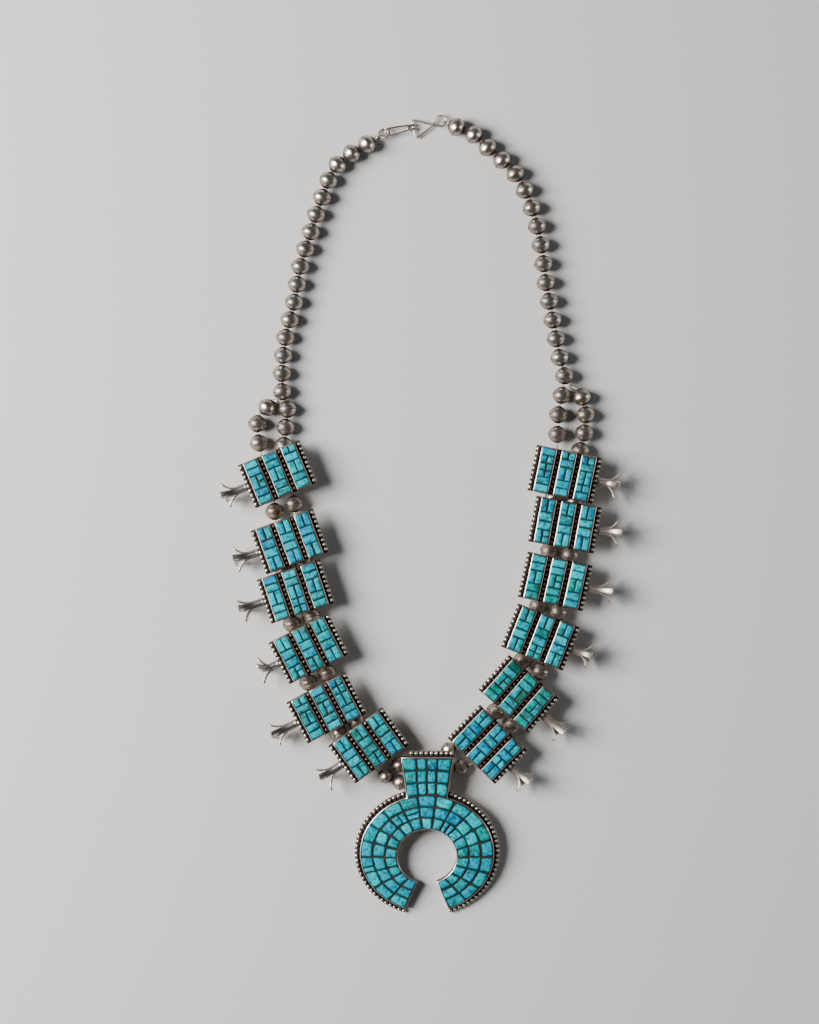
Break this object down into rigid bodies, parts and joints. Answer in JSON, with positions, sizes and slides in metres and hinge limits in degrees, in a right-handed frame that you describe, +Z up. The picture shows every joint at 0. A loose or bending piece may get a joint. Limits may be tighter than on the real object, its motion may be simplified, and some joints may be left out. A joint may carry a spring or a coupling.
{
  "type": "squash blossom necklace",
  "caption": "Squash blossom necklace of hollow silver beads on two strings, with turquoise-inlaid plaques, silver blossoms and an open crescent naja.",
  "frame": {"origin": "middle of the necklace's bounding box in plan, on the surface that it lies on", "axes": "+Y from the naja towards the clasp, +X to the wearer's left as the picture's right, +Z up from the surface towards the stones"},
  "size_m": [0.1706, 0.3368, 0.0128],
  "materials": {
    "worked_silver": "polished silver with brown patina left in the recesses",
    "bead_silver": "smooth silver, lightly tarnished, darker at the holes and the seam",
    "clasp_silver": "drawn silver wire, lightly tarnished",
    "turquoise": "polished turquoise with brown matrix, set in dark mortar",
    "string": "fine stranded wire, dull"
  },
  "bodies": {
    "root": {"naja_setting": "worked_silver", "naja_stones": "turquoise", "bail_stones": "turquoise", "plaque_l6": "worked_silver", "plaque_l5": "worked_silver", "plaque_l4": "worked_silver", "plaque_l3": "worked_silver", "plaque_l2": "worked_silver", "plaque_l1": "worked_silver", "plaque_r6": "worked_silver", "plaque_r5": "worked_silver", "plaque_r4": "worked_silver", "plaque_r3": "worked_silver", "plaque_r2": "worked_silver", "plaque_r1": "worked_silver", "inlay_l6": "turquoise", "inlay_l5": "turquoise", "inlay_l4": "turquoise", "inlay_l3": "turquoise", "inlay_l2": "turquoise", "inlay_l1": "turquoise", "inlay_r6": "turquoise", "inlay_r5": "turquoise", "inlay_r4": "turquoise", "inlay_r3": "turquoise", "inlay_r2": "turquoise", "inlay_r1": "turquoise", "single_beads_left": "bead_silver", "single_beads_right": "bead_silver", "fork_beads_left": "bead_silver", "fork_beads_right": "bead_silver", "spacer_beads_left": "bead_silver", "spacer_beads_right": "bead_silver", "bail_beads": "bead_silver", "string_left": "string", "string_right": "string", "string_inner": "string", "string_outer": "string", "hook": "clasp_silver", "jump_ring": "clasp_silver", "eye": "clasp_silver", "end_loop_left": "clasp_silver", "end_loop_right": "clasp_silver"}
  },
  "joints": []
}
